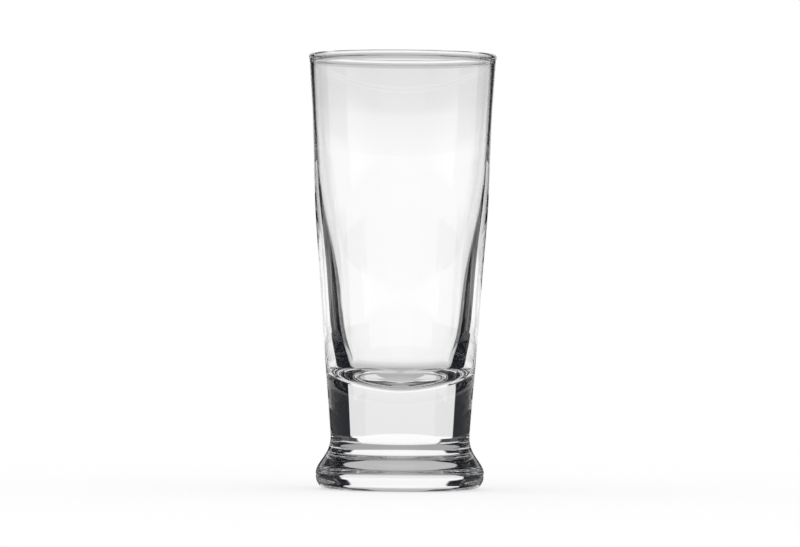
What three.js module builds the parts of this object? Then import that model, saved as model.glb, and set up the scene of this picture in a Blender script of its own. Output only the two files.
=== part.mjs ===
// A heavy-based ouzo glass: a rounded rim, a tapered bowl, a solid base with a
// cupped top, and a flared foot. All four are turned about the same upright axis
// and meet on level faces, where the real glass is fused.
// Millimetres, +Z up, origin at the centre of the face that the glass stands on.
import * as THREE from "three";

// Overall sizes
const TOTAL_HEIGHT = 129;
const RIM_DIAMETER = 56;

// Rim: an oval bead, wider than the wall that it sits on
const BEAD_HEIGHT = 1.8;
const BEAD_WIDTH = 1.6;
const LIP_WALL = 1;

// Outside of the bowl and base, as diameters at heights above the seat
const WAIST_HEIGHT = 16.2;
const WAIST_DIAMETER = 41.3;
const BASE_HEIGHT = 26.3;
const BASE_DIAMETER = 42.8;
const LOWER_HEIGHT = 44;
const LOWER_DIAMETER = 45.7;
const BODY_HEIGHT = 64;
const BODY_DIAMETER = 48.4;
const SHOULDER_HEIGHT = 84;
const SHOULDER_DIAMETER = 51.4;
const UPPER_HEIGHT = 98;
const UPPER_DIAMETER = 52.4;

// Cavity: how thick the wall is at some of those heights
const UPPER_WALL = 1.25;
const SHOULDER_WALL = 2.25;
const BODY_WALL = 4.3;
const LOWER_WALL = 5.45;
const CUP_WALL = 6.7;

// Cup that ends the cavity: a low cone with a rounded middle and a rounded corner
const FLOOR_HEIGHT = 29.3;
const FLOOR_PULL = 4.6;
const CUP_DEPTH = 7.5;
const CUP_PULL = 5;

// Foot: a rounded toe, a flare up to the waist, and a hollowed underside
const FOOT_DIAMETER = 50;
const TOE_HEIGHT = 4.3;
const TOE_PULL = 4;
const WAIST_PULL = 6.4;
const SEAT_DIAMETER = 43.6;
const HOLLOW_DIAMETER = 34;
const HOLLOW_DEPTH = 0.8;

// Fineness of the turned surfaces
const TURN_STEPS = 64;
const WALL_STEPS = 14;
const BASE_STEPS = 7;
const CUP_STEPS = 10;
const BEAD_STEPS = 14;
const TOE_STEPS = 5;
const FLARE_STEPS = 8;
const HOLLOW_STEPS = 4;

// Places that follow from the sizes above
const beadCentreRadius = (RIM_DIAMETER - BEAD_WIDTH) / 2;
const beadWaist = Math.sqrt(1 - (LIP_WALL / BEAD_WIDTH) ** 2);
const beadCentreHeight = TOTAL_HEIGHT - BEAD_HEIGHT / 2;
const lipHeight = beadCentreHeight - (BEAD_HEIGHT / 2) * beadWaist;
const cupHeight = FLOOR_HEIGHT + CUP_DEPTH;

// A smooth radius through [height, radius] stations, with the slope at the first
// station given and the others taken from their neighbours.
function smoothRadius(stations, firstSlope) {
  const slopes = stations.map(([height, radius], i) => {
    if (i === 0) return firstSlope;
    const [lowHeight, lowRadius] = stations[i - 1];
    const [highHeight, highRadius] = stations[i + 1] ?? [height, radius];
    return (highRadius - lowRadius) / (highHeight - lowHeight);
  });
  return (height) => {
    let i = 0;
    while (i < stations.length - 2 && height > stations[i + 1][0]) i += 1;
    const [low, lowRadius] = stations[i];
    const [high, highRadius] = stations[i + 1];
    const span = high - low;
    const t = (height - low) / span;
    return (
      lowRadius * (1 + 2 * t) * (1 - t) ** 2 +
      slopes[i] * span * t * (1 - t) ** 2 +
      highRadius * t ** 2 * (3 - 2 * t) +
      slopes[i + 1] * span * t ** 2 * (t - 1)
    );
  };
}

const outerRadius = smoothRadius(
  [
    [WAIST_HEIGHT, WAIST_DIAMETER / 2],
    [BASE_HEIGHT, BASE_DIAMETER / 2],
    [LOWER_HEIGHT, LOWER_DIAMETER / 2],
    [BODY_HEIGHT, BODY_DIAMETER / 2],
    [SHOULDER_HEIGHT, SHOULDER_DIAMETER / 2],
    [UPPER_HEIGHT, UPPER_DIAMETER / 2],
    [lipHeight, beadCentreRadius + LIP_WALL / 2],
  ],
  0,
);

const cupRadius = outerRadius(cupHeight) - CUP_WALL;
const lowerRadius = LOWER_DIAMETER / 2 - LOWER_WALL;
const cupSlope = (lowerRadius - cupRadius) / (LOWER_HEIGHT - cupHeight);

const innerRadius = smoothRadius(
  [
    [cupHeight, cupRadius],
    [LOWER_HEIGHT, lowerRadius],
    [BODY_HEIGHT, BODY_DIAMETER / 2 - BODY_WALL],
    [SHOULDER_HEIGHT, SHOULDER_DIAMETER / 2 - SHOULDER_WALL],
    [UPPER_HEIGHT, UPPER_DIAMETER / 2 - UPPER_WALL],
    [lipHeight, beadCentreRadius - LIP_WALL / 2],
  ],
  cupSlope,
);

// Outline points of a smooth wall between two heights, in either direction.
function wallPoints(radiusAt, from, to, steps) {
  return Array.from({ length: steps + 1 }, (_, i) => {
    const height = from + ((to - from) * i) / steps;
    return new THREE.Vector2(radiusAt(height), height);
  });
}

// Outline points of an oval arc, with angles counted from straight outwards.
function ovalPoints(radius, height, halfWidth, halfHeight, from, to, steps) {
  const oval = new THREE.EllipseCurve(radius, height, halfWidth, halfHeight, from, to, to < from);
  return oval.getPoints(steps);
}

// A solid turned about the upright axis from a half outline.
function turned(name, outline, material) {
  const geometry = new THREE.LatheGeometry(outline, TURN_STEPS);
  geometry.rotateX(Math.PI / 2);
  const mesh = new THREE.Mesh(geometry, material);
  mesh.name = name;
  return mesh;
}

function clearGlass() {
  return new THREE.MeshStandardMaterial({
    color: 0xeef2f1,
    roughness: 0.03,
    metalness: 0,
    transparent: true,
    opacity: 0.35,
  });
}

// The bead round the mouth, standing on the top edge of the wall.
function makeRim() {
  const join = Math.asin(beadWaist);
  const outline = ovalPoints(
    beadCentreRadius,
    beadCentreHeight,
    BEAD_WIDTH / 2,
    BEAD_HEIGHT / 2,
    -join,
    Math.PI + join,
    BEAD_STEPS,
  );
  outline.push(outline[0].clone());
  return turned("rim", outline, clearGlass());
}

// The open tapered wall, from the top of the cup up to the rim.
function makeBowl() {
  const outline = [
    ...wallPoints(outerRadius, cupHeight, lipHeight, WALL_STEPS),
    ...wallPoints(innerRadius, lipHeight, cupHeight, WALL_STEPS),
  ];
  outline.push(outline[0].clone());
  return turned("bowl", outline, clearGlass());
}

// The solid base, with the cup that closes the bowl sunk in its top.
function makeBase() {
  const cup = new THREE.CubicBezierCurve(
    new THREE.Vector2(cupRadius, cupHeight),
    new THREE.Vector2(cupRadius - cupSlope * CUP_PULL, cupHeight - CUP_PULL),
    new THREE.Vector2(FLOOR_PULL, FLOOR_HEIGHT),
    new THREE.Vector2(0, FLOOR_HEIGHT),
  );
  const outline = [
    new THREE.Vector2(0, WAIST_HEIGHT),
    ...wallPoints(outerRadius, WAIST_HEIGHT, cupHeight, BASE_STEPS),
    ...cup.getPoints(CUP_STEPS),
  ];
  return turned("base", outline, clearGlass());
}

// The flared foot, hollowed underneath so that it stands on a ring.
function makeFoot() {
  const footRadius = FOOT_DIAMETER / 2;
  const seatRadius = SEAT_DIAMETER / 2;
  const hollowRadius = HOLLOW_DIAMETER / 2;
  const waistRadius = WAIST_DIAMETER / 2;
  const hollow = new THREE.QuadraticBezierCurve(
    new THREE.Vector2(0, HOLLOW_DEPTH),
    new THREE.Vector2(hollowRadius / 2, HOLLOW_DEPTH),
    new THREE.Vector2(hollowRadius, 0),
  );
  const flare = new THREE.CubicBezierCurve(
    new THREE.Vector2(footRadius, TOE_HEIGHT),
    new THREE.Vector2(footRadius, TOE_HEIGHT + TOE_PULL),
    new THREE.Vector2(waistRadius, WAIST_HEIGHT - WAIST_PULL),
    new THREE.Vector2(waistRadius, WAIST_HEIGHT),
  );
  const outline = [
    ...hollow.getPoints(HOLLOW_STEPS),
    ...ovalPoints(seatRadius, TOE_HEIGHT, footRadius - seatRadius, TOE_HEIGHT, -Math.PI / 2, 0, TOE_STEPS),
    ...flare.getPoints(FLARE_STEPS).slice(1),
    new THREE.Vector2(0, WAIST_HEIGHT),
  ];
  return turned("foot", outline, clearGlass());
}

const glass = new THREE.Group();
glass.name = "ouzo_glass";
glass.add(makeRim(), makeBowl(), makeBase(), makeFoot());

export default glass;
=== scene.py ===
"""A clear ouzo glass in a bright studio set, laid out as a Blender add-on."""

import math

import bpy
import numpy as np
from bpy.props import FloatProperty, FloatVectorProperty, IntProperty, PointerProperty
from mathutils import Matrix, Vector
from mathutils.geometry import interpolate_bezier


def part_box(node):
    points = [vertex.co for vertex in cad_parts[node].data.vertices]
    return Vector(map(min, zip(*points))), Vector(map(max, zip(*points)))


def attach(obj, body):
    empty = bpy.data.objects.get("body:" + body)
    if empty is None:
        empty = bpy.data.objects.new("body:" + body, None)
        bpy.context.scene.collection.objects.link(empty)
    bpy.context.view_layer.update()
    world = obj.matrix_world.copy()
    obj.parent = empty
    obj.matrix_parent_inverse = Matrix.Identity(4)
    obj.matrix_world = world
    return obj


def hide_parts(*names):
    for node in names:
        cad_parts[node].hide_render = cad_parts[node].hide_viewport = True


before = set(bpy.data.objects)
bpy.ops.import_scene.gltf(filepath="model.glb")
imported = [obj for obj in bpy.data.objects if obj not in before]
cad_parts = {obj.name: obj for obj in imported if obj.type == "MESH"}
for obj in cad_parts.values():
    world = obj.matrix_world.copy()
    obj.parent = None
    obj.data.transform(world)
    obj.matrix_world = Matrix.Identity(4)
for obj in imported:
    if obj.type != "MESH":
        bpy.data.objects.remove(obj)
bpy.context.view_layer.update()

bl_info = {
    "name": "Ouzo Glass",
    "version": (1, 0, 0),
    "blender": (4, 5, 0),
    "location": "3D View > Sidebar > Ouzo Glass",
    "description": "Turns a clear pressed ouzo glass and sets it in a bright studio",
    "category": "Object",
}

BODY = "root"
ZONES = ("rim", "bowl", "base", "foot")
MM = 0.001

# Places that the solids fix
RIM_LOW, RIM_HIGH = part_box("rim")
BOWL_LOW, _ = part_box("bowl")
FOOT_LOW, FOOT_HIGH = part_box("foot")

# Fineness of each stretch of the outline, in steps, and of the turn
HOLLOW_STEPS = 8
SEAT_STEPS = 3
TOE_STEPS = 20
FLARE_STEPS = 36
OUTER_STEPS = 104
BEAD_STEPS = 26
INNER_STEPS = 84
CUP_STEPS = 48
TURN_STEPS = 256
WELD_DISTANCE = 0.002 * MM
SLOPE_STEP = 0.01 * MM

# Noise of the ripples, and of the scuffs: from which to which noise they deepen, how rough they get, and over
# what share of the hollow's depth they fade out above the seat
RIPPLE_DETAIL = 1
RIPPLE_FALL_OFF = 0.4
SCUFF_DETAIL = 4
SCUFF_NOISE = (0.4, 0.7)
SCUFF_ROUGHNESS = (0.02, 0.3)
SCUFF_FADE = 0.1

# The set that the glass mirrors and bends, by direction in degrees. Azimuth 0 is straight behind the glass.
QUARTER_TURN = 90
HALF_TURN = 180
# The lit field behind the glass: how far it reaches to the left and right by elevation, and its tone
FIELD_LEFT = (
    (-90, 34), (-32, 34), (-28, 26), (-5, 26), (-2, 37.5), (6, 37.5), (12, 34), (20, 34), (28, 22), (90, 15),
)
FIELD_RIGHT = ((-90, 34), (-32, 34), (-28, 28), (-4.5, 28), (-1.5, 33), (20, 33), (28, 22), (90, 15))
FIELD_TONE = (
    (-90, 0.45), (-50, 0.5), (-42, 0.58), (-36, 0.68), (-31, 0.8), (-25, 0.95), (-19, 1), (5, 1), (8, 0.85),
    (12, 0.54), (43, 0.46), (60, 0.2), (90, 0.1),
)
FIELD_SOFTNESS = 1.5
# The light that shows a part of the set: mirrored by the glass, bent by it, bent through both walls of the
# bowl, or any of these. Light through solid glass is bent twice, and light through both walls four times.
MIRRORED, BENT, THROUGH, EITHER = "mirrored", "bent", "through", "either"
SOLID_BENDS = 2.5
# Paler panels, on both sides: azimuths from and to, elevations from and to, tone, and the light
# that shows each
PANELS = {
    "far_wall": (42, 190, -4, 6, 1, MIRRORED),
    "side_windows": (69, 118, -22, 1.5, 1, BENT),
    "low_wall": (38, 71, -4, 1.5, 0.9, THROUGH),
    "room_behind": (100, 190, -24, 8, 1, EITHER),
    "floor_behind": (126, 190, -72, -22, 0.9, EITHER),
    "floor_aside": (28, 128, -60, -20, 0.8, BENT),
    "sky_behind": (150, 190, 8, 65, 0.3, EITHER),
    "floor_below": (0, 190, -95, -46, 0.42, EITHER),
    "sheen_in_the_dark": (38, 42, -16, -4, 0.12, BENT),
}
PANEL_SOFTNESS = 1

# Cards glow by their own colour, so no light or shade changes it
CARD_GLOW = 1
# Dark cards behind the glass, out of the camera's sight: the side that each stands on, the (across, up) ends
# of its inner edge, how far out it reaches, and the light that shows it
CARD_DISTANCE = 0.15
CARDS = {
    "left_upper_card": (-1, (0.072, 0.082), (0.062, 0.145), 0.14, EITHER),
    "right_upper_card": (1, (0.072, 0.082), (0.062, 0.145), 0.14, EITHER),
    "left_edge_card": (-1, (0.034, 0.07), (0.034, 0.09), 0.2, MIRRORED),
    "right_edge_card": (1, (0.034, 0.058), (0.034, 0.09), 0.2, MIRRORED),
    "left_low_card": (-1, (0.029, 0), (0.029, 0.036), 0.4, MIRRORED),
    "right_low_card": (1, (0.029, 0), (0.029, 0.036), 0.4, MIRRORED),
}
# A graduated sheet further back, as (height, tone)
SHEET_DISTANCE = 1
SHEET_TONES = (
    (0.085, 0.97), (0.105, 0.95), (0.125, 0.92), (0.14, 0.9),
    (0.156, 0.84), (0.18, 0.8), (0.23, 0.62), (0.35, 0.52),
)
SHEET_REACH = (-0.6, 0.6)
# A pale grey sheet in front of it, for the base: light through both walls doesn't show it
BASE_SHEET_DISTANCE = 0.9
BASE_SHEET_REACH = (-0.68, 0.6)
BASE_SHEET_HEIGHTS = (0.055, 0.135)
BASE_SHEET_WHITE = 0.83
# Pieces of card on the floor round the foot: radii, azimuths from and to, and the share of white. The three
# under the foot are painted shade for the table below the glass. Light through both walls doesn't show the
# dark ones, and mirrored light doesn't show the grey ones.
MATS = {
    # Painted shade: the dark and grey pieces under the foot stand for the table shaded below the glass
    "left_shade_under_foot": ((0.012, 0.026), (-40, -7), 0),
    "right_shade_under_foot": ((0.012, 0.026), (7, 40), 0),
    "middle_shade_under_foot": ((0.012, 0.026), (-7, 7), 0.4),
    "front_mat": ((0.026, 0.08), (125, 235), 0),
    "left_mat": ((0.026, 0.2), (-125, -60), 0),
    "right_mat": ((0.026, 0.2), (60, 125), 0),
    "left_toe_mat": ((0.026, 0.036), (-60, -36), 0),
    "right_toe_mat": ((0.026, 0.036), (36, 60), 0),
    "left_inner_mat": ((0.036, 0.23), (-60, -28), 0),
    "right_inner_mat": ((0.036, 0.23), (28, 60), 0),
    "grey_wedge": ((0.026, 0.039), (-10, 10), 0.4),
}
MAT_DEPTH = 0.0005
MAT_STEPS = 48
FLOOR_REACH = 4
FLOOR_GAP = 0.0001
FLOOR_GLOW = 0.6
LIGHT_BOUNCES = 40

# Colour sockets of the Mix node, which has others of the same names
MIX_FACTOR, MIX_FIRST, MIX_SECOND, MIX_RESULT = 0, 6, 7, 2


def linear(hex_colour):
    """An sRGB hex colour as linear red, green, blue and alpha, by the sRGB standard."""
    parts = [int(hex_colour[i:i + 2], 16) / 255 for i in (1, 3, 5)]
    return (*(p / 12.92 if p <= 0.04045 else ((p + 0.055) / 1.055) ** 2.4 for p in parts), 1)


def add_node(tree, kind, settings=None, inputs=None):
    """Adds a node, sets it up, and fills or links its inputs; a node as an input gives its first output."""
    node = tree.nodes.new(kind)
    for name, value in (settings or {}).items():
        if name == "stops":
            fill_ramp(node.color_ramp, value)
        else:
            setattr(node, name, value)
    for key, value in (inputs or {}).items():
        if isinstance(value, bpy.types.Node):
            value = value.outputs[0]
        if isinstance(value, bpy.types.NodeSocket):
            tree.links.new(value, node.inputs[key])
        else:
            node.inputs[key].default_value = value
    return node


def fill_ramp(ramp, stops):
    """Gives a ramp its (place, tone) stops, eased from one to the next."""
    ramp.interpolation = "EASE"
    while len(ramp.elements) < len(stops):
        ramp.elements.new(1)
    for element, (place, tone) in zip(ramp.elements, stops):
        element.position = place
        element.color = (tone, tone, tone, 1)


def length(name, description, default):
    """A size in metres that the user may change."""
    return FloatProperty(
        name=name, description=description, default=default, min=0,
        unit="LENGTH", subtype="DISTANCE", precision=5,
    )


def station(name, description, height, size):
    """A height above the seat with the size there, both in metres."""
    return FloatVectorProperty(
        name=name, description=description, default=(height * MM, size * MM), size=2, min=0,
        unit="LENGTH", subtype="XYZ", precision=5,
    )


def colour(name, description, default):
    """A colour that the user may change."""
    return FloatVectorProperty(
        name=name, description=description, default=linear(default), size=4, min=0, max=1, subtype="COLOR"
    )


class OuzoGlassSizes(bpy.types.PropertyGroup):
    """Sizes of the glass. Those that the solids show come from the frame."""

    rim_diameter: length("Rim Diameter", "Across the bead round the mouth", RIM_HIGH.x - RIM_LOW.x)
    rim_top: length("Height", "From the seat to the top of the bead", RIM_HIGH.z)
    lip_height: length("Lip Height", "Where the bead meets the wall", RIM_LOW.z)
    lip_wall: length("Lip Wall", "Thickness of the wall under the bead", 1 * MM)
    bead_height: length("Bead Height", "Height of the oval bead", 1.8 * MM)
    bead_width: length("Bead Width", "Thickness of the oval bead", 1.6 * MM)
    waist: station("Waist", "Height and diameter of the narrowest place", FOOT_HIGH.z / MM, 41.3)
    base: station("Base", "Height and diameter of the solid base", 26.3, 42.8)
    lower: station("Lower Bowl", "Height and diameter over the cup", 44, 45.7)
    body: station("Body", "Height and diameter at mid height", 64, 48.4)
    shoulder: station("Shoulder", "Height and diameter where the taper eases", 84, 51.4)
    upper: station("Upper Bowl", "Height and diameter over the shoulder", 98, 52.4)
    neck: station("Neck", "Height and diameter under the lip", 112, 53.6)
    cup_wall: station("Wall At The Cup", "Height and thickness of the wall", 36.8, 6.7)
    lower_wall: station("Wall Over The Cup", "Height and thickness of the wall", 44, 5.45)
    body_wall: station("Wall Of The Body", "Height and thickness of the wall", 60, 4.6)
    thinning_wall: station("Wall Below The Shoulder", "Height and thickness of the wall", 74, 3.35)
    shoulder_wall: station("Wall At The Shoulder", "Height and thickness of the wall", 88, 1.85)
    upper_wall: station("Wall Above The Shoulder", "Height and thickness of the wall", 104, 1)
    cup_height: length("Cup Height", "Where the cavity turns in to its floor", BOWL_LOW.z)
    cup_pull: length("Cup Corner", "How far the wall runs on into the cup's corner", 5 * MM)
    floor_height: length("Floor Height", "Thickness of the glass under the cavity", 29.3 * MM)
    floor_pull: length("Floor Round", "How far the middle of the floor stays level", 4.6 * MM)
    foot_diameter: length("Foot Diameter", "Across the rounded toe", FOOT_HIGH.x - FOOT_LOW.x)
    toe_height: length("Toe Height", "Height of the widest place of the foot", 4.3 * MM)
    toe_pull: length("Toe Round", "How far the toe rises before it turns in", 4 * MM)
    waist_pull: length("Flare Length", "How far the flare runs down from the waist", 6.4 * MM)
    seat_diameter: length("Seat Diameter", "Across the ring that the glass stands on", 43.6 * MM)
    hollow_diameter: length("Hollow Diameter", "Across the hollow under the foot", 34 * MM)
    hollow_depth: length("Hollow Depth", "Depth of the hollow under the foot", 0.8 * MM)


class OuzoGlassFinish(bpy.types.PropertyGroup):
    """Look of the glass."""

    tint: colour("Tint", "Colour that the glass gives to light passing through", "#FFFFFF")
    refraction: FloatProperty(
        name="Index Of Refraction", description="Of soda-lime glass", default=1.52, min=1
    )
    ripple_size: length("Ripple Size", "Width of the soft ripples that a mould leaves", 9 * MM)
    ripple_depth: length("Ripple Depth", "Depth of those ripples", 0.004 * MM)
    scuff_size: length("Scuff Size", "Width of the scuffs on the ring that it stands on", 0.6 * MM)


class OuzoStageSettings(bpy.types.PropertyGroup):
    """The set, the floor and the camera."""

    white: colour("White", "Colour of the floor, the backdrop and the lit field", "#FFFFFF")
    card: colour("Card", "Colour of the dark sides that draw the edges of the glass", "#1C1D22")
    lens: FloatProperty(name="Lens", description="Focal length in millimetres", default=208, min=1)
    camera_place: FloatVectorProperty(
        name="Camera", description="Place of the camera", default=(-0.0003, -1.373, 0.056),
        unit="LENGTH", subtype="XYZ",
    )
    camera_turn: FloatVectorProperty(
        name="Camera Turn", description="Turn of the camera about X, Y and Z",
        default=[math.radians(a) for a in (90.33, -0.42, 0)], unit="ROTATION", subtype="EULER",
    )
    bounces: IntProperty(
        name="Light Bounces", description="How often light may turn inside the glass",
        default=LIGHT_BOUNCES, min=1,
    )


def spline(stations):
    """The curve through (height, value) stations whose slope and bend never jump, as a function of height."""
    heights, values = np.array(stations).T
    gaps = np.diff(heights)
    slopes = np.diff(values) / gaps
    system = np.eye(len(heights))
    target = np.zeros(len(heights))
    for i in range(1, len(heights) - 1):
        system[i, i - 1:i + 2] = gaps[i - 1], 2 * (gaps[i - 1] + gaps[i]), gaps[i]
        target[i] = 6 * (slopes[i] - slopes[i - 1])
    bends = np.linalg.solve(system, target)

    def value_at(height):
        i = np.clip(np.searchsorted(heights, height) - 1, 0, len(gaps) - 1)
        above = heights[i + 1] - height
        below = height - heights[i]
        cubic = (bends[i] * above ** 3 + bends[i + 1] * below ** 3) / (6 * gaps[i])
        start = values[i] / gaps[i] - bends[i] * gaps[i] / 6
        end = values[i + 1] / gaps[i] - bends[i + 1] * gaps[i] / 6
        return cubic + start * above + end * below

    return value_at


def wall_points(radius_at, start, end, steps):
    """Outline points of a wall between two heights."""
    heights = np.linspace(start, end, steps + 1)
    return list(zip(radius_at(heights), heights))


def oval_points(centre, half_sizes, start, end, steps):
    """Outline points of an oval arc, with angles counted from straight outwards."""
    angles = np.linspace(start, end, steps + 1)
    return [
        (centre[0] + half_sizes[0] * math.cos(a), centre[1] + half_sizes[1] * math.sin(a)) for a in angles
    ]


def bend_points(start, start_pull, end_pull, end, steps):
    """Outline points of a curve that leaves and arrives along its two pulls."""
    knots = [Vector(p) for p in (start, start_pull, end_pull, end)]
    return [tuple(p) for p in interpolate_bezier(*knots, steps + 1)]


def glass_outline(sizes):
    """The half outline of the glass as (radius, height), from under the foot, up outside and down inside."""
    bead_radius = (sizes.rim_diameter - sizes.bead_width) / 2
    bead_height = sizes.rim_top - sizes.bead_height / 2
    diameters = (
        sizes.waist, sizes.base, sizes.lower, sizes.body, sizes.shoulder, sizes.upper, sizes.neck,
    )
    walls = (
        sizes.cup_wall, sizes.lower_wall, sizes.body_wall,
        sizes.thinning_wall, sizes.shoulder_wall, sizes.upper_wall,
    )
    outer = spline(
        [(height, diameter / 2) for height, diameter in diameters]
        + [(sizes.lip_height, bead_radius + sizes.lip_wall / 2)]
    )
    wall = spline([tuple(place) for place in walls] + [(sizes.lip_height, sizes.lip_wall)])

    def inner(height):
        return outer(height) - wall(height)

    foot_radius = sizes.foot_diameter / 2
    seat_radius = sizes.seat_diameter / 2
    hollow_radius = sizes.hollow_diameter / 2
    waist_height, waist_radius = sizes.waist[0], sizes.waist[1] / 2
    waist_slope = (outer(waist_height + SLOPE_STEP) - waist_radius) / SLOPE_STEP
    hollow = [
        (r, sizes.hollow_depth * (1 - (r / hollow_radius) ** 2))
        for r in np.linspace(0, hollow_radius, HOLLOW_STEPS + 1)
    ]
    seat = [(r, 0) for r in np.linspace(hollow_radius, seat_radius, SEAT_STEPS + 1)]
    toe = oval_points(
        (seat_radius, sizes.toe_height), (foot_radius - seat_radius, sizes.toe_height),
        -math.pi / 2, 0, TOE_STEPS,
    )
    flare = bend_points(
        (foot_radius, sizes.toe_height),
        (foot_radius, sizes.toe_height + sizes.toe_pull),
        (waist_radius - waist_slope * sizes.waist_pull, waist_height - sizes.waist_pull),
        (waist_radius, waist_height),
        FLARE_STEPS,
    )
    join = math.acos(sizes.lip_wall / sizes.bead_width)
    bead = oval_points(
        (bead_radius, bead_height), (sizes.bead_width / 2, sizes.bead_height / 2),
        -join, math.pi + join, BEAD_STEPS,
    )
    cup_radius = inner(sizes.cup_height)
    cup_slope = (inner(sizes.cup_height + SLOPE_STEP) - cup_radius) / SLOPE_STEP
    cup = bend_points(
        (cup_radius, sizes.cup_height),
        (cup_radius - cup_slope * sizes.cup_pull, sizes.cup_height - sizes.cup_pull),
        (sizes.floor_pull, sizes.floor_height),
        (0, sizes.floor_height),
        CUP_STEPS,
    )
    outside = wall_points(outer, waist_height, sizes.lip_height, OUTER_STEPS)
    inside = wall_points(inner, sizes.lip_height, sizes.cup_height, INNER_STEPS)
    stretches = [hollow, seat, toe, flare, outside, bead, inside, cup]
    return hollow[:1] + [point for stretch in stretches for point in stretch[1:]]


def turning_tree():
    """Geometry nodes that turn an outline about the upright axis into one closed skin."""
    tree = bpy.data.node_groups.new("turned_about_the_axis", "GeometryNodeTree")
    sockets = {
        name: tree.interface.new_socket(name, in_out=side, socket_type=f"NodeSocket{kind}")
        for name, side, kind in (
            ("Outline", "INPUT", "Geometry"),
            ("Turn Steps", "INPUT", "Int"),
            ("Weld Distance", "INPUT", "Float"),
            ("Glass", "INPUT", "Material"),
            ("Turned Skin", "OUTPUT", "Geometry"),
        )
    }
    given = add_node(tree, "NodeGroupInput").outputs
    outline = given["Outline"]
    point_count = add_node(
        tree, "GeometryNodeAttributeDomainSize", {"component": "MESH"}, {"Geometry": outline}
    ).outputs["Point Count"]
    columns = add_node(tree, "FunctionNodeIntegerMath", {"operation": "ADD"}, {0: given["Turn Steps"], 1: 1})
    sheet = add_node(tree, "GeometryNodeMeshGrid", None, {"Vertices X": columns, "Vertices Y": point_count})
    index = add_node(tree, "GeometryNodeInputIndex")
    point = add_node(tree, "FunctionNodeIntegerMath", {"operation": "MODULO"}, {0: index, 1: point_count})
    column = add_node(
        tree, "FunctionNodeIntegerMath", {"operation": "DIVIDE_FLOOR"}, {0: index, 1: point_count}
    )
    place = add_node(
        tree, "GeometryNodeSampleIndex", {"data_type": "FLOAT_VECTOR", "domain": "POINT"},
        {"Geometry": outline, "Value": add_node(tree, "GeometryNodeInputPosition"), "Index": point},
    )
    turn = add_node(tree, "ShaderNodeMath", {"operation": "DIVIDE"}, {0: column, 1: given["Turn Steps"]})
    angle = add_node(tree, "ShaderNodeMath", {"operation": "MULTIPLY"}, {0: turn, 1: 2 * math.pi})
    turned = add_node(
        tree, "ShaderNodeVectorRotate", {"rotation_type": "Z_AXIS"}, {"Vector": place, "Angle": angle}
    )
    skin = add_node(
        tree, "GeometryNodeSetPosition", None, {"Geometry": sheet.outputs["Mesh"], "Position": turned}
    )
    welded = add_node(
        tree, "GeometryNodeMergeByDistance", None, {"Geometry": skin, "Distance": given["Weld Distance"]}
    )
    smooth = add_node(tree, "GeometryNodeSetShadeSmooth", None, {"Geometry": welded})
    real = add_node(tree, "GeometryNodeRealizeInstances", None, {"Geometry": smooth})
    dressed = add_node(tree, "GeometryNodeSetMaterial", None, {"Geometry": real, "Material": given["Glass"]})
    add_node(tree, "NodeGroupOutput", None, {"Turned Skin": dressed})
    return tree, sockets


def pressed_glass(finish, sizes):
    """Soda-lime glass, pressed and fire-polished.

    To the eye: clear and all but colourless, sharp dark and bright edges where the wall bends the light,
    very soft ripples that make those edges waver a little, and fine scuffs on the ring that it stands on.
    """
    material = bpy.data.materials.new("soda_lime_glass_pressed_and_fire_polished")
    material.use_nodes = True
    tree = material.node_tree
    tree.nodes.clear()
    place = add_node(tree, "ShaderNodeTexCoord").outputs["Object"]
    ripple = add_node(
        tree, "ShaderNodeTexNoise", None,
        {
            "Vector": place, "Scale": 1 / finish.ripple_size,
            "Detail": RIPPLE_DETAIL, "Roughness": RIPPLE_FALL_OFF,
        },
    )
    surface = add_node(
        tree, "ShaderNodeBump", None,
        {"Strength": 1, "Distance": finish.ripple_depth, "Height": ripple.outputs["Fac"]},
    )
    height = add_node(tree, "ShaderNodeSeparateXYZ", None, {"Vector": place}).outputs["Z"]
    seat_share = add_node(
        tree, "ShaderNodeMapRange", None,
        {
            "Value": height, "From Min": 0, "From Max": sizes.hollow_depth * SCUFF_FADE,
            "To Min": 1, "To Max": 0,
        },
    )
    scuffs = add_node(
        tree, "ShaderNodeTexNoise", None,
        {"Vector": place, "Scale": 1 / finish.scuff_size, "Detail": SCUFF_DETAIL},
    )
    scuffed = add_node(
        tree, "ShaderNodeMapRange", None,
        {
            "Value": scuffs.outputs["Fac"], "From Min": SCUFF_NOISE[0], "From Max": SCUFF_NOISE[1],
            "To Min": SCUFF_ROUGHNESS[0], "To Max": SCUFF_ROUGHNESS[1],
        },
    )
    roughness = add_node(tree, "ShaderNodeMath", {"operation": "MULTIPLY"}, {0: seat_share, 1: scuffed})
    glass = add_node(
        tree, "ShaderNodeBsdfPrincipled", None,
        {
            "Base Color": finish.tint, "Roughness": roughness, "IOR": finish.refraction,
            "Transmission Weight": 1, "Normal": surface,
        },
    )
    add_node(tree, "ShaderNodeOutputMaterial", None, {"Surface": glass})
    return material


def open_edges(mesh):
    """How many edges of a mesh aren't shared by exactly two faces."""
    uses = np.zeros(len(mesh.edges), int)
    edge_of_corner = np.zeros(len(mesh.loops), int)
    mesh.loops.foreach_get("edge_index", edge_of_corner)
    np.add.at(uses, edge_of_corner, 1)
    return int(np.count_nonzero(uses != 2))


def link(name, data):
    """A new object at the origin with this mesh or camera."""
    thing = bpy.data.objects.new(name, data)
    bpy.context.scene.collection.objects.link(thing)
    return thing


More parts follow.
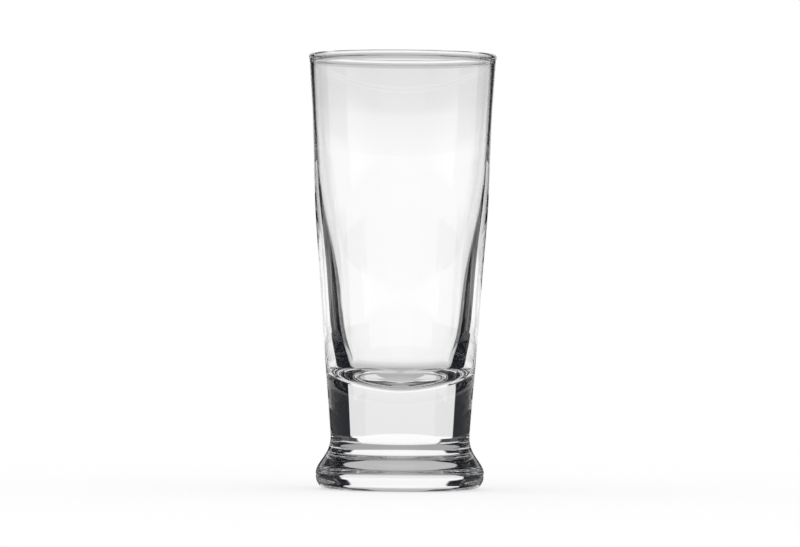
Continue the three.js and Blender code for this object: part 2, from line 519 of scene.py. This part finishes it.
class OUZO_OT_make_glass(bpy.types.Operator):
    """Turn the glass in one piece, as it is pressed, in place of its four zones"""

    bl_idname = "ouzo.make_glass"
    bl_label = "Make Glass"

    def execute(self, context):
        sizes = context.scene.ouzo_sizes
        points = [(radius, 0, height) for radius, height in glass_outline(sizes)]
        outline = bpy.data.meshes.new("glass_outline")
        outline.from_pydata(points, [(i, i + 1) for i in range(len(points) - 1)], [])
        glass = link("glass", outline)
        tree, sockets = turning_tree()
        modifier = glass.modifiers.new("Turned", "NODES")
        modifier.node_group = tree
        modifier[sockets["Turn Steps"].identifier] = TURN_STEPS
        modifier[sockets["Weld Distance"].identifier] = WELD_DISTANCE
        modifier[sockets["Glass"].identifier] = pressed_glass(context.scene.ouzo_finish, sizes)
        skin = bpy.data.meshes.new_from_object(glass.evaluated_get(context.evaluated_depsgraph_get()))
        glass.modifiers.clear()
        glass.data = skin
        skin.name = "glass"
        bpy.data.meshes.remove(outline)
        if open_edges(skin):
            raise RuntimeError("the glass is not one closed skin")
        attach(glass, BODY)
        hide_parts(*ZONES)
        return {"FINISHED"}


def ramp_stops(table, low, high, unit=1):
    """Ramp stops from a table of (angle or height, value) over a range of angles or heights."""
    return [((place - low) / (high - low), value / unit) for place, value in table]


def through_walls(tree):
    """1 for light that went through both walls of the bowl."""
    bends = add_node(tree, "ShaderNodeLightPath").outputs["Transmission Depth"]
    return add_node(tree, "ShaderNodeMath", {"operation": "GREATER_THAN"}, {0: bends, 1: SOLID_BENDS})


def light_world(settings):
    """White to the camera and the floor. The glass sees a lit field behind it, between dark sides."""
    world = bpy.data.worlds.new("bright_field_set")
    world.use_nodes = True
    tree = world.node_tree
    tree.nodes.clear()
    direction = add_node(tree, "ShaderNodeTexCoord").outputs["Generated"]
    x, y, z = add_node(tree, "ShaderNodeSeparateXYZ", None, {"Vector": direction}).outputs
    azimuth = add_node(tree, "ShaderNodeMath", {"operation": "ARCTAN2"}, {0: x, 1: y})
    half_turns = add_node(tree, "ShaderNodeMath", {"operation": "DIVIDE"}, {0: azimuth, 1: math.pi})
    rise = add_node(tree, "ShaderNodeMath", {"operation": "ARCSINE"}, {0: z})
    height = add_node(
        tree, "ShaderNodeMapRange", None, {"Value": rise, "From Min": -math.pi / 2, "From Max": math.pi / 2}
    )
    field = []
    softness = FIELD_SOFTNESS / HALF_TURN
    for edge, side in ((FIELD_LEFT, -1), (FIELD_RIGHT, 1)):
        stops = ramp_stops(edge, -QUARTER_TURN, QUARTER_TURN, HALF_TURN)
        reach = add_node(tree, "ShaderNodeValToRGB", {"stops": stops}, {"Fac": height})
        outwards = add_node(tree, "ShaderNodeMath", {"operation": "MULTIPLY"}, {0: half_turns, 1: side})
        past = add_node(tree, "ShaderNodeMath", {"operation": "SUBTRACT"}, {0: outwards, 1: reach})
        field.append(
            add_node(
                tree, "ShaderNodeMapRange", {"interpolation_type": "SMOOTHSTEP"},
                {"Value": past, "From Min": -softness, "From Max": softness, "To Min": 1, "To Max": 0},
            )
        )
    lit = add_node(tree, "ShaderNodeMath", {"operation": "MULTIPLY"}, {0: field[0], 1: field[1]})
    stops = ramp_stops(FIELD_TONE, -QUARTER_TURN, QUARTER_TURN)
    strength = add_node(tree, "ShaderNodeValToRGB", {"stops": stops}, {"Fac": height})
    tone = add_node(tree, "ShaderNodeMath", {"operation": "MULTIPLY"}, {0: lit, 1: strength})
    aside = add_node(tree, "ShaderNodeMath", {"operation": "ABSOLUTE"}, {0: azimuth})
    ray = add_node(tree, "ShaderNodeLightPath").outputs
    bent = ray["Is Transmission Ray"]
    seen_by = {
        MIRRORED: add_node(tree, "ShaderNodeMath", {"operation": "SUBTRACT"}, {0: 1, 1: bent}),
        BENT: bent,
        THROUGH: through_walls(tree),
        EITHER: 1,
    }
    soft = math.radians(PANEL_SOFTNESS)
    for near, far, low, high, panel_tone, path in PANELS.values():
        inside = []
        for angle, start, end, brightest in ((aside, near, far, panel_tone), (rise, low, high, 1)):
            middle = math.radians(start + end) / 2
            half = math.radians(end - start) / 2
            away = add_node(tree, "ShaderNodeMath", {"operation": "SUBTRACT"}, {0: angle, 1: middle})
            distance = add_node(tree, "ShaderNodeMath", {"operation": "ABSOLUTE"}, {0: away})
            inside.append(
                add_node(
                    tree, "ShaderNodeMapRange", {"interpolation_type": "SMOOTHSTEP"},
                    {
                        "Value": distance, "From Min": half - soft, "From Max": half + soft,
                        "To Min": brightest, "To Max": 0,
                    },
                )
            )
        panel = add_node(tree, "ShaderNodeMath", {"operation": "MULTIPLY"}, {0: inside[0], 1: inside[1]})
        panel = add_node(tree, "ShaderNodeMath", {"operation": "MULTIPLY"}, {0: panel, 1: seen_by[path]})
        tone = add_node(tree, "ShaderNodeMath", {"operation": "MAXIMUM"}, {0: tone, 1: panel})
    shade = add_node(
        tree, "ShaderNodeMix", {"data_type": "RGBA"},
        {MIX_FACTOR: tone, MIX_FIRST: settings.card, MIX_SECOND: settings.white},
    ).outputs[MIX_RESULT]
    seen_in_glass = add_node(tree, "ShaderNodeBackground", None, {"Color": shade})
    plain = add_node(tree, "ShaderNodeBackground", None, {"Color": settings.white})
    off_glass = add_node(
        tree, "ShaderNodeMath", {"operation": "MAXIMUM"}, {0: ray["Is Glossy Ray"], 1: bent}
    )
    seen = add_node(tree, "ShaderNodeMixShader", None, {0: off_glass, 1: plain, 2: seen_in_glass})
    add_node(tree, "ShaderNodeOutputWorld", None, {"Surface": seen})
    return world


def stage_material(name, glow, colour_value, shown_through_walls=True):
    """A matt stage surface that also glows by a share of its colour."""
    material = bpy.data.materials.new(name)
    material.use_nodes = True
    tree = material.node_tree
    tree.nodes.clear()
    matt = add_node(tree, "ShaderNodeBsdfDiffuse", None, {"Color": colour_value})
    bright = add_node(tree, "ShaderNodeEmission", None, {"Color": colour_value})
    mixed = add_node(tree, "ShaderNodeMixShader", None, {0: glow, 1: matt, 2: bright})
    if not shown_through_walls:
        clear = add_node(tree, "ShaderNodeBsdfTransparent")
        mixed = add_node(tree, "ShaderNodeMixShader", None, {0: through_walls(tree), 1: mixed, 2: clear})
    add_node(tree, "ShaderNodeOutputMaterial", None, {"Surface": mixed})
    return material


def graduated_material(settings):
    """A sheet that glows white below and pale grey above."""
    material = bpy.data.materials.new("graduated_sheet")
    material.use_nodes = True
    tree = material.node_tree
    tree.nodes.clear()
    place = add_node(tree, "ShaderNodeTexCoord").outputs["Object"]
    height = add_node(tree, "ShaderNodeSeparateXYZ", None, {"Vector": place}).outputs["Z"]
    low, high = SHEET_TONES[0][0], SHEET_TONES[-1][0]
    share = add_node(tree, "ShaderNodeMapRange", None, {"Value": height, "From Min": low, "From Max": high})
    strength = add_node(
        tree, "ShaderNodeValToRGB", {"stops": ramp_stops(SHEET_TONES, low, high)}, {"Fac": share}
    )
    glow = add_node(tree, "ShaderNodeEmission", None, {"Color": settings.white, "Strength": strength})
    add_node(tree, "ShaderNodeOutputMaterial", None, {"Surface": glow})
    return material


def stage_sheet(name, corners, material):
    """A flat piece of the set with these corners."""
    mesh = bpy.data.meshes.new(name)
    mesh.from_pydata(corners, [], [range(len(corners))])
    mesh.materials.append(material)
    sheet = link(name, mesh)
    return sheet


def card_tone(settings, share):
    """The colour between a dark card and white that has this share of white."""
    return [dark + (light - dark) * share for dark, light in zip(settings.card, settings.white)]


def mat_corners(radii, reach):
    """Corners of a flat part of a ring on the floor round the glass."""
    turns = np.radians(np.linspace(*reach, MAT_STEPS + 1))
    rounds = zip(radii, (turns, turns[::-1]))
    return [(r * math.sin(a), r * math.cos(a), -MAT_DEPTH) for r, angles in rounds for a in angles]


def set_floor(settings):
    """A white floor that keeps the shadow. Light that has met the glass sees the set in its place."""
    ends = [(-1, -1), (1, -1), (1, 1), (-1, 1)]
    floor = stage_sheet(
        "floor",
        [(FLOOR_REACH * across, FLOOR_REACH * along, -FLOOR_GAP) for across, along in ends],
        stage_material("white_floor", FLOOR_GLOW, settings.white),
    )
    floor.visible_transmission = False
    floor.visible_glossy = False


def set_cards(settings):
    """The upright dark cards behind the glass."""
    material = stage_material("dark_card", CARD_GLOW, settings.card)
    cards = []
    for name, (side, bottom, top, outer, path) in CARDS.items():
        ends = [bottom, (outer, bottom[1]), (outer, top[1]), top]
        card = stage_sheet(name, [(side * across, CARD_DISTANCE, up) for across, up in ends], material)
        card.visible_transmission = path != MIRRORED
        cards.append(card)
    return cards


def set_back_sheets(settings):
    """The graduated sheet, and the pale grey one for the base."""
    grey = stage_material("base_sheet", CARD_GLOW, card_tone(settings, BASE_SHEET_WHITE), False)
    heights = (SHEET_TONES[0][0], SHEET_TONES[-1][0])
    sheets = []
    for name, distance, (left, right), (low, high), material in (
        ("graduated_sheet", SHEET_DISTANCE, SHEET_REACH, heights, graduated_material(settings)),
        ("base_sheet", BASE_SHEET_DISTANCE, BASE_SHEET_REACH, BASE_SHEET_HEIGHTS, grey),
    ):
        ends = [(left, low), (right, low), (right, high), (left, high)]
        sheets.append(stage_sheet(name, [(across, distance, up) for across, up in ends], material))
    return sheets


def set_mats(settings):
    """The pieces of card on the floor. The three under the foot are painted shade for the table below the
    glass.
    """
    mats = []
    for name, (radii, reach, share) in MATS.items():
        is_dark = share == 0
        material = stage_material(name, CARD_GLOW, card_tone(settings, share), not is_dark)
        mat = stage_sheet(name, mat_corners(radii, reach), material)
        mat.visible_glossy = is_dark
        mats.append(mat)
    return mats


def set_camera(settings):
    """The camera at the photograph's viewing angle."""
    camera = bpy.data.cameras.new("camera")
    camera.lens = settings.lens
    holder = link("camera", camera)
    holder.location = settings.camera_place
    holder.rotation_euler = settings.camera_turn
    return holder


class OUZO_OT_set_stage(bpy.types.Operator):
    """Set out the floor, the cards, the light and the camera"""

    bl_idname = "ouzo.set_stage"
    bl_label = "Set Stage"

    def execute(self, context):
        scene = context.scene
        settings = scene.ouzo_stage
        set_floor(settings)
        for sheet in set_cards(settings) + set_back_sheets(settings) + set_mats(settings):
            sheet.visible_camera = False
            sheet.visible_diffuse = False
            sheet.visible_shadow = False
        scene.world = light_world(settings)
        scene.camera = set_camera(settings)
        scene.view_settings.view_transform = "Standard"
        scene.cycles.max_bounces = settings.bounces
        scene.cycles.transmission_bounces = settings.bounces
        scene.cycles.glossy_bounces = settings.bounces
        return {"FINISHED"}


class OUZO_PT_panel(bpy.types.Panel):
    """Sizes and finish of the glass, and the set"""

    bl_idname = "OUZO_PT_panel"
    bl_label = "Ouzo Glass"
    bl_space_type = "VIEW_3D"
    bl_region_type = "UI"
    bl_category = "Ouzo Glass"

    def draw(self, context):
        scene = context.scene
        for operator, group in (
            (OUZO_OT_make_glass, (scene.ouzo_sizes, scene.ouzo_finish)),
            (OUZO_OT_set_stage, (scene.ouzo_stage,)),
        ):
            box = self.layout.box()
            for settings in group:
                for name in settings.__annotations__:
                    box.prop(settings, name)
            box.operator(operator.bl_idname)


CLASSES = (
    OuzoGlassSizes, OuzoGlassFinish, OuzoStageSettings, OUZO_OT_make_glass, OUZO_OT_set_stage, OUZO_PT_panel,
)
SETTINGS = {"ouzo_sizes": OuzoGlassSizes, "ouzo_finish": OuzoGlassFinish, "ouzo_stage": OuzoStageSettings}


def register():
    for each in CLASSES:
        bpy.utils.register_class(each)
    for name, group in SETTINGS.items():
        setattr(bpy.types.Scene, name, PointerProperty(type=group))


def unregister():
    for name in SETTINGS:
        delattr(bpy.types.Scene, name)
    for each in reversed(CLASSES):
        bpy.utils.unregister_class(each)


def main():
    register()
    bpy.ops.ouzo.make_glass()
    bpy.ops.ouzo.set_stage()


if __name__ == "__main__":
    main()
